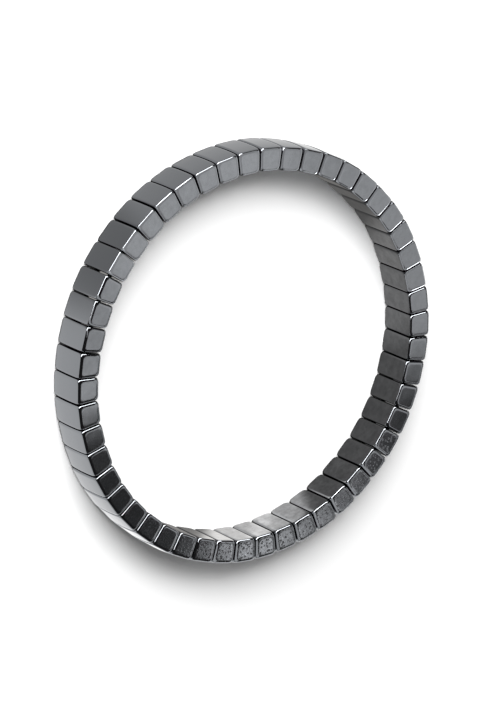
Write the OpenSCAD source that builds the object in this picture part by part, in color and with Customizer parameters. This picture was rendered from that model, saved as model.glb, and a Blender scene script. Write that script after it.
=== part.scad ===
// Stretch bracelet of polished hematite tiles, lying on its rim.
// Fifty keystone tiles stand side by side in a ring. Two elastic cords run through two holes in each tile.
// The ring's axis is Z, its lower rim lies on the plane Z = 0, and lengths are millimetres.

/* [Ring] */
// Number of tiles on the elastic
tile_count = 50; // [46:4:58]
// Gap between two tiles at their inner faces
inner_gap = 0.15; // [0.14:0.01:0.3]
// Gap between two tiles at their outer faces
outer_gap = 0.2; // [0.16:0.04:0.4]
// Largest turn of a tile on its elastic, in degrees
tile_turn = 0.6; // [0:0.1:0.6]
// Largest step of a tile in or out of the ring
tile_step = 0.05; // [0:0.01:0.05]

/* [Tile] */
// Length of a tile's inner face along the ring
tile_length = 3.45; // [3:0.05:4.5]
// Width of a tile across the ring, from rim to rim
tile_width = 6.7; // [5.5:0.1:9]
// Thickness of a tile from its inner face to its outer face
tile_thickness = 3.8; // [3:0.2:4.2]
// Height of the outer face's crown over its two rim edges
crown = 0.2; // [0.1:0.02:0.24]
// Radius of the rounded edges along the ring
edge_radius = 0.4; // [0.2:0.05:0.45]
// Radius of the rounded edges beside a gap
side_radius = 0.34; // [0.22:0.02:0.34]
// Radius of the four corners of a face
corner_radius = 0.55; // [0.2:0.05:0.6]

/* [Elastic] */
// Diameter of each elastic cord
elastic_diameter = 0.7; // [0.5:0.05:0.7]
// Diameter of the two holes in a tile
hole_diameter = 1.1; // [1.1:0.05:1.2]
// Distance between the two holes, centre to centre
hole_spacing = 3.4; // [2.6:0.1:3.6]

/* [Hidden] */

hematite = [0.27, 0.28, 0.30];
black_elastic = [0.05, 0.05, 0.05];
turn_per_tile = 360 / tile_count;
// The golden angle spreads the tiles' small turns and steps with no repeat
golden_angle = 137.5;
cut_through = 1;
round_fn = 64;

inner_radius = (tile_length + inner_gap) / 2 / tan(turn_per_tile / 2);
outer_radius = inner_radius + tile_thickness;
outer_length = 2 * outer_radius * tan(turn_per_tile / 2) - outer_gap;
crown_radius = (pow(tile_width / 2, 2) + crown * crown) / 2 / crown;
hole_depth = tile_thickness / 2;
// Halfway between the cord's smallest and largest distance from the straight holes
elastic_radius = inner_radius + hole_depth + pow(tile_length / 2, 2) / inner_radius / 4;

function unit(v) = v / norm(v);
function corner_angle(before, corner, after) =
    acos(unit(before - corner) * unit(after - corner));
function corner_centre(before, corner, after, radius) =
    corner + unit(unit(before - corner) + unit(after - corner))
        * radius / sin(corner_angle(before, corner, after) / 2);
function corner_ends(before, corner, after, radius) =
    let (reach = radius / tan(corner_angle(before, corner, after) / 2))
    [corner + unit(before - corner) * reach, corner + unit(after - corner) * reach];

// A convex outline whose corners are arcs
module rounded_outline(points, radius) {
    last = len(points) - 1;
    function before(i) = points[i == 0 ? last : i - 1];
    function after(i) = points[i == last ? 0 : i + 1];
    polygon([for (i = [0 : last]) each corner_ends(before(i), points[i], after(i), radius)]);
    for (i = [0 : last])
        translate(corner_centre(before(i), points[i], after(i), radius))
            circle(r = radius, $fn = round_fn);
}

// Seen along the ring's axis: a keystone, x outwards from its inner face
module keystone() {
    rounded_outline([
        [0, -tile_length / 2],
        [tile_thickness, -outer_length / 2],
        [tile_thickness, outer_length / 2],
        [0, tile_length / 2]
    ], side_radius);
}

// Seen along the elastic: a flat inner face and a crowned outer one, x outwards and y across the ring
module crowned_section() {
    half = tile_width / 2 - edge_radius;
    crown_centre = tile_thickness - crown_radius;
    shoulder = crown_centre + sqrt(pow(crown_radius - edge_radius, 2) - half * half);
    crown_half = half * crown_radius / (crown_radius - edge_radius);
    intersection() {
        translate([crown_centre, 0]) circle(r = crown_radius, $fn = 2 * round_fn);
        translate([0, -crown_half]) square([tile_thickness, 2 * crown_half]);
    }
    translate([edge_radius, -tile_width / 2]) square([shoulder - edge_radius, tile_width]);
    for (x = [edge_radius, shoulder], side = [-1, 1])
        translate([x, side * half]) circle(r = edge_radius, $fn = round_fn);
}

// Seen from outside the ring: a rectangle with round corners
module face_outline() {
    long = max(tile_length, outer_length);
    rounded_outline([
        [-long / 2, -tile_width / 2],
        [long / 2, -tile_width / 2],
        [long / 2, tile_width / 2],
        [-long / 2, tile_width / 2]
    ], corner_radius);
}

// One drilled tile: its inner face in the plane x = 0, its width along z
module tile() {
    difference() {
        intersection() {
            translate([0, 0, -tile_width / 2]) linear_extrude(tile_width) keystone();
            translate([0, outer_length / 2, 0]) rotate([90, 0, 0])
                linear_extrude(outer_length) crowned_section();
            rotate([90, 0, 90]) linear_extrude(tile_thickness) face_outline();
        }
        for (side = [-1, 1])
            translate([hole_depth, 0, side * hole_spacing / 2]) rotate([90, 0, 0])
                cylinder(d = hole_diameter, h = outer_length + cut_through, center = true, $fn = round_fn);
    }
}

// Every tile of the ring, each a little turned and stepped as it sits on its elastic
module hematite_tiles() {
    color(hematite)
    for (i = [0 : tile_count - 1])
        rotate([0, 0, i * turn_per_tile])
            translate([inner_radius + tile_step * sin(2 * i * golden_angle), 0, tile_width / 2])
                rotate([0, 0, tile_turn * sin(i * golden_angle)])
                    tile();
}

// One closed elastic cord, at the height of its row of holes
module elastic(height) {
    color(black_elastic)
    translate([0, 0, height])
        rotate_extrude($fn = 4 * round_fn)
            translate([elastic_radius, 0]) circle(d = elastic_diameter, $fn = round_fn);
}

module upper_elastic() { elastic((tile_width + hole_spacing) / 2); }
module lower_elastic() { elastic((tile_width - hole_spacing) / 2); }

hematite_tiles();
upper_elastic();
lower_elastic();
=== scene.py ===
import math

import bmesh
import bpy
from mathutils import Matrix, Quaternion, Vector


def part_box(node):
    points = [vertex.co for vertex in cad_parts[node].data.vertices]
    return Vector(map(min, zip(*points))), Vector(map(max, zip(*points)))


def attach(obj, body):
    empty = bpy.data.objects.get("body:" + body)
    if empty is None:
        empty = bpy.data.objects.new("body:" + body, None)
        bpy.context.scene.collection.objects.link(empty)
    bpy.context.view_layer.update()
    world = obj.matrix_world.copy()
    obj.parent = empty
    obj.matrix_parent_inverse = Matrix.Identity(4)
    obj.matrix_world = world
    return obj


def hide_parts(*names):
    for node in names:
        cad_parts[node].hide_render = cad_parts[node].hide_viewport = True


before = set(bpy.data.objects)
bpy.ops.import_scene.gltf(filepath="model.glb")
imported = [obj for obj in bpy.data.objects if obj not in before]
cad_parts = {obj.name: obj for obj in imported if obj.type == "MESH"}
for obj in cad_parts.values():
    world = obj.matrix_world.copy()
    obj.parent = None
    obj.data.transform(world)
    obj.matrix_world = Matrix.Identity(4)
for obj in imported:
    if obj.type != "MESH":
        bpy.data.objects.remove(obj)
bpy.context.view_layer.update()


# The camera looks down on the ring from one side, through a long lens that keeps the ring nearly round.
# It is rolled until the ring's axis points to the right in the picture.
mm = 0.001
camera_place = Vector((-23.3, -450.1, 560.9)) * mm
camera_aim = Vector((1.45, -0.24, 3.17)) * mm
camera_roll = math.radians(113.44)
picture_height = 720
focal_length_in_pixels = 4763.6
sensor_height = 24
nearest_seen = 10 * mm

camera = bpy.data.objects.new("camera", bpy.data.cameras.new("camera"))
bpy.context.scene.collection.objects.link(camera)
bpy.context.scene.camera = camera
camera.data.sensor_fit = "VERTICAL"
camera.data.sensor_height = sensor_height
camera.data.lens = focal_length_in_pixels / picture_height * sensor_height
camera.data.clip_start = nearest_seen
camera.location = camera_place
camera.rotation_mode = "QUATERNION"
level = (camera_aim - camera_place).to_track_quat("-Z", "Y")
camera.rotation_quaternion = level @ Quaternion((0, 0, 1), camera_roll)


# One tile is a small block of hematite, sawn with a flat inner face and a longer, crowned outer face.
# It is drilled twice for the elastic and then tumbled until its edges are round and its faces shine.
# Each tile is shaped standing on its lower rim, with its inner face in the plane X = 0.
tile_length = 3.45 * mm
outer_tile_length = 3.878 * mm
tile_thickness = 3.8 * mm
crown = 0.2 * mm
crown_loop = 1.1 * mm
edge_reach = 0.5 * mm
crisp_wear = 1
rubbed_wear = 1.12
worn_wear = 1.25
corner_wear = 1
tumbling_rounds = 2
hole_radius = 0.55 * mm
hole_spacing = 3.4 * mm
hole_sides = 32
smooth_below = math.radians(30)
face_depth = 0.03 * mm
near_enough = 0.001 * mm

ring_low, ring_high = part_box("hematite_tiles")
tile_width = ring_high[2] - ring_low[2]


def pick(piece, kind, wanted):
    """Opens a piece in edit mode with only the wanted vertices or faces selected."""
    bpy.context.view_layer.objects.active = piece
    bpy.ops.object.mode_set(mode="EDIT")
    bpy.ops.mesh.select_mode(type=kind)
    bpy.ops.mesh.select_all(action="DESELECT")
    shape = bmesh.from_edit_mesh(piece.data)
    for part in {"VERT": shape.verts, "FACE": shape.faces}[kind]:
        part.select_set(wanted(part))
    shape.select_flush_mode()
    bmesh.update_edit_mesh(piece.data)


def put_down():
    """Goes back to object mode with nothing selected."""
    bpy.ops.object.mode_set(mode="OBJECT")
    bpy.ops.object.select_all(action="DESELECT")


def same(a, b):
    return abs(a - b) < near_enough


def mark(tile, name, values):
    """Stores one number for each vertex of a tile, for its material to read."""
    tile.data.attributes.new(name, "FLOAT", "POINT").data.foreach_set("value", values)


def new_tile(name, wear):
    """Shapes one drilled tile. Its wear says how many times rounder than a crisp tile's its edges are."""
    bpy.ops.object.select_all(action="DESELECT")
    bpy.ops.mesh.primitive_cube_add(
        size=1,
        location=(tile_thickness / 2, 0, tile_width / 2),
        scale=(tile_thickness, tile_length, tile_width),
    )
    tile = bpy.context.object
    tile.name = name
    bpy.ops.object.transform_apply(location=True, rotation=True, scale=True)
    pick(tile, "FACE", lambda face: same(face.calc_center_median().x, tile_thickness))
    bpy.ops.transform.resize(value=(1, outer_tile_length / tile_length, 1))

    # Two loops beside every edge keep its round small when the tile is tumbled. One more on each side
    # of the middle shapes the crown.
    reach = edge_reach * wear
    taper = (outer_tile_length - tile_length) / 2 / tile_thickness
    middle = tile_width / 2
    depths = (reach, 2 * reach, tile_thickness - 2 * reach, tile_thickness - reach)
    heights = (crown_loop, middle - 2 * reach, middle - reach)
    cuts = [((depth, 0, 0), (1, 0, 0)) for depth in depths]
    for side in (-1, 1):
        for loop in (reach, 2 * reach):
            cuts.append(((0, side * (tile_length / 2 - loop), 0), (-side * taper, 1, 0)))
        for height in heights:
            cuts.append(((0, 0, middle + side * height), (0, 0, 1)))
    for point, normal in cuts:
        bpy.ops.mesh.select_all(action="SELECT")
        bpy.ops.mesh.bisect(plane_co=point, plane_no=normal)
    put_down()

    # The outer face is lowered towards both rims, which leaves it crowned
    for height in (*heights, middle):
        pick(tile, "VERT", lambda v: same(abs(v.co.z - middle), height) and v.co.x > tile_thickness / 2)
        bpy.ops.transform.translate(value=(-crown * (height / middle) ** 2, 0, 0))
        put_down()

    # The eight corners wear first, and then all the edges
    pick(tile, "VERT", lambda v: len(v.link_edges) == 3)
    bpy.ops.mesh.vertices_smooth(factor=corner_wear)
    put_down()
    tumbling = tile.modifiers.new("tumbling", "SUBSURF")
    tumbling.levels = tumbling.render_levels = tumbling_rounds
    tile.select_set(True)
    bpy.ops.object.modifier_apply(modifier="tumbling")

    for side in (-1, 1):
        bpy.ops.mesh.primitive_cylinder_add(
            vertices=hole_sides,
            radius=hole_radius,
            depth=2 * tile_length,
            location=(tile_thickness / 2, 0, (tile_width + side * hole_spacing) / 2),
            rotation=(math.pi / 2, 0, 0),
        )
        drill = bpy.context.object
        hole = tile.modifiers.new("hole", "BOOLEAN")
        hole.operation = "DIFFERENCE"
        hole.solver = "EXACT"
        hole.object = drill
        bpy.context.view_layer.objects.active = tile
        bpy.ops.object.modifier_apply(modifier="hole")
        bpy.data.objects.remove(drill)

    bpy.ops.object.select_all(action="DESELECT")
    tile.select_set(True)
    bpy.context.view_layer.objects.active = tile
    bpy.ops.object.shade_smooth_by_angle(angle=smooth_below)
    vertices = tile.data.vertices
    mark(tile, "rim", [float(abs(v.co.z - middle) > middle - face_depth) for v in vertices])
    mark(tile, "inner", [float(v.co.x < face_depth) for v in vertices])
    return tile


crisp_tile = new_tile("crisp_tile", crisp_wear)
rubbed_tile = new_tile("rubbed_tile", rubbed_wear)
worn_tile = new_tile("worn_tile", worn_wear)


# Fifty tiles sit side by side on the elastic and make the ring. Each is turned and stepped a little,
# as it comes to rest on its cords, by the same rule as in the solid model. A few are worn rounder, and
# those round one azimuth are pitted, each by a somewhat different share.
tile_count = 50
inner_gap = 0.15 * mm
inner_radius = (tile_length + inner_gap) / 2 / math.tan(math.pi / tile_count)
golden_angle = math.radians(137.5)
tile_turn = math.radians(0.6)
tile_step = 0.05 * mm
rubbed_numbers = range(2, 11)
worn_numbers = range(4, 9)
pitted_azimuth = math.radians(34)
pitted_fall = 5
pitted_limit = 3.4
pitted_scatter = 0.3

tiles = []
for number in range(tile_count):
    angle = 2 * math.pi * number / tile_count
    scatter = math.sin(number * golden_angle)
    step = tile_step * math.sin(2 * number * golden_angle)
    tone = 0.5 + 0.5 * math.sin(3 * number * golden_angle)
    share = pitted_fall * math.cos(angle - pitted_azimuth) - pitted_limit + pitted_scatter * scatter

    pattern = crisp_tile
    if number in rubbed_numbers:
        pattern = rubbed_tile
    if number in worn_numbers:
        pattern = worn_tile
    tile = pattern.copy()
    tile.data = pattern.data.copy()
    bpy.context.scene.collection.objects.link(tile)
    seat = Matrix.Rotation(angle, 4, "Z")
    seat @= Matrix.Translation((inner_radius + step, 0, 0))
    seat @= Matrix.Rotation(tile_turn * scatter, 4, "Z")
    tile.data.transform(seat)
    mark(tile, "tone", [tone] * len(tile.data.vertices))
    mark(tile, "pitted", [min(max(share, 0), 1)] * len(tile.data.vertices))
    tiles.append(tile)
for pattern in (crisp_tile, rubbed_tile, worn_tile):
    bpy.data.objects.remove(pattern)


def join(pieces, name):
    """Makes one object of several."""
    bpy.ops.object.select_all(action="DESELECT")
    for piece in pieces:
        piece.select_set(True)
    bpy.context.view_layer.objects.active = pieces[0]
    bpy.ops.object.join()
    bpy.context.object.name = name
    return bpy.context.object


# The tiles are joined, by their numbers round the ring, into four stretches that are lit differently
far_tiles = join(tiles[18:27], "far_tiles")
left_tiles = join(tiles[27:37], "left_tiles")
pitted_tiles = join(tiles[2:12], "pitted_tiles")
near_tiles = join(tiles[37:] + tiles[:2] + tiles[12:18], "near_tiles")


class Wire:
    """A socket in a node tree. Arithmetic on it adds Math nodes, and node() adds a node of any kind."""

    def __init__(self, tree, socket=None):
        self.tree = tree
        self.socket = socket

    def node(self, kind, values=None, output=0, **settings):
        """Adds a node, sets it up, then sets or links the input sockets named in values."""
        made = self.tree.nodes.new(kind)
        for name, value in settings.items():
            setattr(made, name, value)
        for name, value in (values or {}).items():
            if isinstance(value, Wire):
                self.tree.links.new(value.socket, made.inputs[name])
            else:
                made.inputs[name].default_value = value
        return Wire(self.tree, made.outputs[output]) if made.outputs else None

    def maths(self, operation, *values):
        return self.node("ShaderNodeMath", dict(enumerate(values)), operation=operation)

    def __add__(self, other):
        return self.maths("ADD", self, other)

    def __sub__(self, other):
        return self.maths("SUBTRACT", self, other)

    def __rsub__(self, other):
        return self.maths("SUBTRACT", other, self)

    def __mul__(self, other):
        return self.maths("MULTIPLY", self, other)

    __radd__ = __add__
    __rmul__ = __mul__

    def between(self, low, high):
        """0 below low, 1 above high and smooth in the middle."""
        return self.node("ShaderNodeMapRange", {0: self, 1: low, 2: high}, interpolation_type="SMOOTHSTEP")

    def mixed(self, first, second):
        """The first colour where this is 0, and the second where it is 1."""
        return self.node("ShaderNodeMix", {0: self, 6: first, 7: second}, output=2, data_type="RGBA")

    def scaled(self, factor):
        """This colour or place times a number."""
        return self.node("ShaderNodeVectorMath", {0: self, "Scale": factor}, operation="SCALE")


def bare_nodes(owner):
    """Empties the node tree of a material or a sky, and gives a Wire that adds new nodes to it."""
    owner.use_nodes = True
    owner.node_tree.nodes.clear()
    return Wire(owner.node_tree)


# Hematite takes a metallic mirror polish, dark grey and a little blue. The rim faces are duller than
# the rest, and on some tiles they keep pits and a mottled skin that the tumbling left. The pits are real
# relief and are also painted a darker grey, as painted shade. Rims and inner faces are faintly blotched.
# Heights and depths of the relief are in micrometres.
hematite_grey = (0.185, 0.192, 0.203, 1)
# The darker grey of the pits is painted shade
pit_shade_grey = (0.10, 0.10, 0.105, 1)
darkest_tile = 0.92
tone_range = 0.1
waves_per_metre = 260
wave_height = 12
grain_per_metre = 9000
polish_roughness = 0.06
grain_roughness = 0.02
rim_roughness = 0.01
blotches_per_metre = 900
rim_blotches = 0.35
inner_blotches = 0.9
pitted_blotches = 0.45
skin_per_metre = 3200
dark_skin = (0.4, 0.6)
bright_skin = (0.5, 0.7)
skin_darkness = 0.35
skin_brightness = 0.15
skin_roughness = 0.015
skin_height = 3
pits_per_metre = 2000
pit_edge = (0.1, 0.4)
pit_raggedness = 0.6
painted_pit_shade = 0.8
pit_roughness = 0.2
pit_depth = 8
micrometre = 0.001 * mm

hematite = bpy.data.materials.new("polished_hematite")
wire = bare_nodes(hematite)
place = wire.node("ShaderNodeTexCoord", output="Object")
on_rim, on_inner, tone, pitted = (
    wire.node("ShaderNodeAttribute", output="Fac", attribute_name=name)
    for name in ("rim", "inner", "tone", "pitted")
)


def noise(per_metre, detail, roughness=0.5):
    return wire.node(
        "ShaderNodeTexNoise",
        {"Vector": place, "Scale": per_metre, "Detail": detail, "Roughness": roughness},
        output="Fac",
    )


mottle = noise(skin_per_metre, 3, 0.65)
blotches = noise(blotches_per_metre, 3, 0.65)
grain = noise(grain_per_metre, 2)
waves = noise(waves_per_metre, 1)
cells = wire.node("ShaderNodeTexVoronoi", {"Vector": place, "Scale": pits_per_metre}, output="Distance")
skin = on_rim * pitted
# The pits are bumped in as relief, and their darker grey below is painted shade
pits = (1 - (cells + (mottle - 0.5) * pit_raggedness).between(*pit_edge)) * skin
pit_shade_and_dark_skin = pits * painted_pit_shade + (1 - mottle.between(*dark_skin)) * skin * skin_darkness
blotched = on_rim * rim_blotches + on_inner * inner_blotches + pitted * pitted_blotches
shade = darkest_tile + tone * tone_range + (blotches - 0.5) * blotched
shade = shade + mottle.between(*bright_skin) * skin * skin_brightness
roughness = polish_roughness + grain * grain_roughness + on_rim * rim_roughness
roughness = roughness + skin * skin_roughness + pits * pit_roughness
height = waves * wave_height + mottle * skin * skin_height - pits * pit_depth
relief = wire.node("ShaderNodeBump", {"Strength": 1, "Distance": micrometre, "Height": height})
shader = wire.node(
    "ShaderNodeBsdfPrincipled",
    {
        "Base Color": pit_shade_and_dark_skin.mixed(hematite_grey, pit_shade_grey).scaled(shade),
        "Metallic": 1,
        "Roughness": roughness,
        "Normal": relief,
    },
)
wire.node("ShaderNodeOutputMaterial", {"Surface": shader})

for stretch in (far_tiles, left_tiles, near_tiles, pitted_tiles):
    stretch.data.materials.clear()
    stretch.data.materials.append(hematite)
    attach(stretch, "root")
    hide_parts("hematite_tiles")


# The elastic is a round black cord of rubber with a fine ribbed cover. Two closed loops of it run
# through the holes of all the tiles, and show only as darkness in the gaps.
rubber_black = (0.012, 0.012, 0.013, 1)
rubber_roughness = 0.6
ribs_per_turn = 900
rib_height = 0.02 * mm
rib_shading = 0.1

elastic = bpy.data.materials.new("black_elastic")
wire = bare_nodes(elastic)
place = wire.node("ShaderNodeTexCoord", output="Object")
along_x = wire.node("ShaderNodeSeparateXYZ", {0: place}, output="X")
along_y = wire.node("ShaderNodeSeparateXYZ", {0: place}, output="Y")
ribs = wire.maths("SINE", wire.maths("ARCTAN2", along_y, along_x) * ribs_per_turn)
relief = wire.node("ShaderNodeBump", {"Strength": 1, "Distance": rib_height, "Height": ribs})
shader = wire.node(
    "ShaderNodeBsdfPrincipled",
    {"Base Color": rubber_black, "Roughness": rubber_roughness + ribs * rib_shading, "Normal": relief},
)
wire.node("ShaderNodeOutputMaterial", {"Surface": shader})
for name in ("upper_elastic", "lower_elastic"):
    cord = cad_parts[name]
    cord.data.materials.clear()
    cord.data.materials.append(elastic)


# The bracelet lies on plain white paper. In reflections its polished faces see a painted glow in its
# place, brighter on some sides than on others, with a painted shadow where the tiles stand on it, so that
# each stretch of the ring has its own tone.
floor_size = 6
paper_white = (0.86, 0.86, 0.86, 1)
paper_roughness = 0.9
warm_white = (1, 0.975, 0.945, 1)
pure_white = (1, 1, 1, 1)
# The painted glow that the tiles reflect in place of the paper, and the depth of the painted shadow under
# them
reflected_glow_inside = 0.35
reflected_glow_outside = 1.4
painted_shadow_under_tiles = 0.95

# Each change's azimuth, how many degrees from there it is whole, how many it reaches, and its amount
glow_changes_inside = (
    (29, 7, 15, 0.9),
    (34, 10, 24, 0.5),
    (43, 6, 12, 0.75),
    (126, 8, 24, 0.3),
    (170, 12, 35, -0.12),
)
glow_changes_outside = (
    (225, 35, 60, -0.5),
    (259, 8, 20, -0.35),
    (112, 45, 60, -1.3),
)

# Each pair of distances from the ring's axis is where a soft step starts and where it ends
tiles_begin = (28.5 * mm, 28.8 * mm)
middle_of_tiles = (30 * mm, 31 * mm)
tiles_end = (32.1 * mm, 32.5 * mm)

bpy.ops.object.select_all(action="DESELECT")
bpy.ops.mesh.primitive_plane_add(size=floor_size)
floor = bpy.context.object
floor.name = "floor"
paper = bpy.data.materials.new("white_paper")
wire = bare_nodes(paper)
place = wire.node("ShaderNodeTexCoord", output="Object")
from_axis = wire.node("ShaderNodeVectorMath", {0: place}, output="Value", operation="LENGTH")
outward = wire.node("ShaderNodeVectorMath", {0: place}, operation="NORMALIZE")


def round_the_ring(painted_glow, changes):
    """A painted reflected glow with amounts added that are whole near an azimuth and fade out far from it.
    """
    for azimuth, near, far, amount in changes:
        turn, near, far = (math.radians(angle) for angle in (azimuth, near, far))
        facing = wire.node(
            "ShaderNodeVectorMath",
            {0: outward, 1: (math.cos(turn), math.sin(turn), 0)},
            output="Value",
            operation="DOT_PRODUCT",
        )
        painted_glow = painted_glow + facing.between(math.cos(far), math.cos(near)) * amount
    return painted_glow


glow_inside = round_the_ring(reflected_glow_inside, glow_changes_inside)
glow_outside = round_the_ring(reflected_glow_outside, glow_changes_outside)
outer_side = from_axis.between(*middle_of_tiles)
# Painted shadow: the glow seen in reflections is darkened where the tiles stand on the paper
painted_shadow_zone = from_axis.between(*tiles_begin) * (1 - from_axis.between(*tiles_end))
painted_glow = (glow_inside + (glow_outside - glow_inside) * outer_side) * (1 - painted_shadow_zone * painted_shadow_under_tiles)
tint = outer_side.mixed(warm_white, pure_white)
# The painted reflection: in glossy rays the paper glows instead of being lit
painted_reflection = wire.node("ShaderNodeEmission", {"Color": tint.scaled(painted_glow)})
plain = wire.node("ShaderNodeBsdfPrincipled", {"Base Color": paper_white, "Roughness": paper_roughness})
in_a_reflection = wire.node("ShaderNodeLightPath", output="Is Glossy Ray")
shader = wire.node("ShaderNodeMixShader", {0: in_a_reflection, 1: plain, 2: painted_reflection})
wire.node("ShaderNodeOutputMaterial", {"Surface": shader})
floor.data.materials.append(paper)


# One overhead lamp lights the paper and casts the soft shadow. The other lamps and cards are seen only
# in reflections. Most of them light single stretches of the ring, so that no highlight breaks up the
# edges of the others. One small card hangs close above the near side and faces along it.
close_card_place = Vector((5, -35, 34)) * mm


def softbox(name, azimuth, elevation, distance, width, height, radiance, lit):
    """A rectangular lamp that faces the ring's middle. It lights the pieces in lit, or else everything."""
    turn, rise = math.radians(azimuth), math.radians(elevation)
    outwards = Vector((math.cos(turn) * math.cos(rise), math.sin(turn) * math.cos(rise), math.sin(rise)))
    light = bpy.data.lights.new(name, "AREA")
    light.shape = "RECTANGLE"
    light.size = width
    light.size_y = height
    light.energy = radiance * math.pi * width * height
    lamp = bpy.data.objects.new(name, light)
    bpy.context.scene.collection.objects.link(lamp)
    lamp.location = outwards * distance
    lamp.rotation_mode = "QUATERNION"
    lamp.rotation_quaternion = outwards.to_track_quat("Z", "Y")
    lamp.visible_camera = False
    lamp.visible_diffuse = False
    if lit:
        receivers = bpy.data.collections.new(name + "_receivers")
        for stretch in lit:
            receivers.objects.link(stretch)
        lamp.light_linking.receiver_collection = receivers
    return lamp


# Each lamp's name, azimuth, elevation, distance, width, height, radiance and the tiles that it lights
lamps = {}
for name, *measures, lit in (
    ("overhead", 230, 41, 0.9, 0.6, 0.6, 15.3, ()),
    ("far_card", 85, 14, 0.9, 1.7, 0.45, 1.3, ()),
    ("close_card", 350, 0, 0, 0.05, 0.05, 1.2, ()),
    ("left_key", 190, 24, 0.9, 0.92, 0.42, 12, (near_tiles, pitted_tiles)),
    ("upper_key", 203, 27, 0.9, 0.62, 0.42, 12, (left_tiles,)),
    ("near_key", 240, 36, 0.9, 1.05, 0.42, 12, (left_tiles, near_tiles, pitted_tiles)),
    ("edge_card", 0, 33, 0.9, 1.1, 1, 1.3, (far_tiles,)),
    ("fill_card", 87, 33, 0.95, 1.6, 0.6, 1.2, (left_tiles, far_tiles)),
    ("glint_card", 76, 15, 0.85, 0.22, 0.3, 16, (far_tiles,)),
    ("top_card", 200, 80, 0.9, 1.5, 1.5, 1, (left_tiles, far_tiles)),
    ("corner_light", 192, 10, 0.9, 1, 0.4, 5, (far_tiles,)),
    ("bevel_card", 350, 50, 0.9, 1.7, 1.2, 1.3, (pitted_tiles,)),
):
    lamps[name] = softbox(name, *measures, lit)
lamps["close_card"].location = close_card_place
lamps["overhead"].visible_diffuse = True
lamps["overhead"].visible_glossy = False


# The flat rims all reflect one glowing card above the far side. The camera's place says which spot of
# the card each rim shows. Places on the card are given in millimetres, by the spot of the ring that
# shows them. It has a black corner, a soft dark spot, three brighter spots and edges that fade out.
card_height = 300 * mm
card_size = 400 * mm
card_glow = 1.2
darkness = 0.92
near_edge = (-42, -38)
far_edge = (80, 90)
left_edge = (-115, -100)
right_edge = (42, 48)

# A spot's place, how far it is even and how far it reaches, and how much a bright one adds
dark_spot = (6, 36, 8, 23)
bright_spots = ((-22, -22, 12, 26, 0.3), (28, 11.5, 3, 9, 1.9), (14, -27, 2, 7, 0.5))

# The black corner lies between two lines that leave the ring's centre. Each is an azimuth and a soft
# step across that line.
corner_begins = (306, -2.6, -1.4)
corner_ends = (10.8, 2, 3.4)

spread = card_height / (camera_place.z - tile_width)
bpy.ops.object.select_all(action="DESELECT")
bpy.ops.mesh.primitive_plane_add(
    size=card_size,
    location=(-camera_place.x * spread, -camera_place.y * spread, tile_width + card_height),
)
card = bpy.context.object
card.name = "rim_card"
glowing_card = bpy.data.materials.new("glowing_card")
wire = bare_nodes(glowing_card)
place = wire.node("ShaderNodeTexCoord", output="Object").scaled(1 / mm / (1 + spread))
x = wire.node("ShaderNodeSeparateXYZ", {0: place}, output="X")
y = wire.node("ShaderNodeSeparateXYZ", {0: place}, output="Y")


def spot(centre_x, centre_y, near, far):
    """1 within near millimetres of a point and 0 beyond far millimetres."""
    centre = (centre_x, centre_y, 0)
    away = wire.node("ShaderNodeVectorMath", {0: place, 1: centre}, output="Value", operation="DISTANCE")
    return 1 - away.between(near, far)


def past(azimuth, low, high):
    """0 before a line that leaves the ring's centre at an azimuth, and 1 past it."""
    turn = math.radians(azimuth)
    return (y * math.cos(turn) - x * math.sin(turn)).between(low, high)


on_card = y.between(*near_edge) * (1 - y.between(*far_edge))
on_card = on_card * x.between(*left_edge) * (1 - x.between(*right_edge))
black_corner = past(*corner_begins) * (1 - past(*corner_ends))
glow = card_glow
for centre_x, centre_y, near, far, amount in bright_spots:
    glow = glow + spot(centre_x, centre_y, near, far) * amount
glow = glow * (1 - black_corner * darkness) * (1 - spot(*dark_spot) * darkness)
clear = wire.node("ShaderNodeBsdfTransparent")
glowing = wire.node("ShaderNodeEmission", {"Color": glow})
shader = wire.node("ShaderNodeMixShader", {0: on_card, 1: clear, 2: glowing})
wire.node("ShaderNodeOutputMaterial", {"Surface": shader})
card.data.materials.append(glowing_card)
card.visible_camera = False
card.visible_diffuse = False
card.visible_shadow = False


# An even white sky fills the shadow on the paper. In reflections it is nearly black, as the walls of a
# dark studio are.
sky_brightness = 0.28
sky_in_reflections = 0.05

sky = bpy.data.worlds.new("sky")
bpy.context.scene.world = sky
wire = bare_nodes(sky)
in_a_reflection = wire.node("ShaderNodeLightPath", output="Is Glossy Ray")
strength = sky_brightness - in_a_reflection * (sky_brightness - sky_in_reflections)
light = wire.node("ShaderNodeBackground", {"Strength": strength})
wire.node("ShaderNodeOutputWorld", {"Surface": light})
bpy.context.scene.view_settings.view_transform = "Standard"
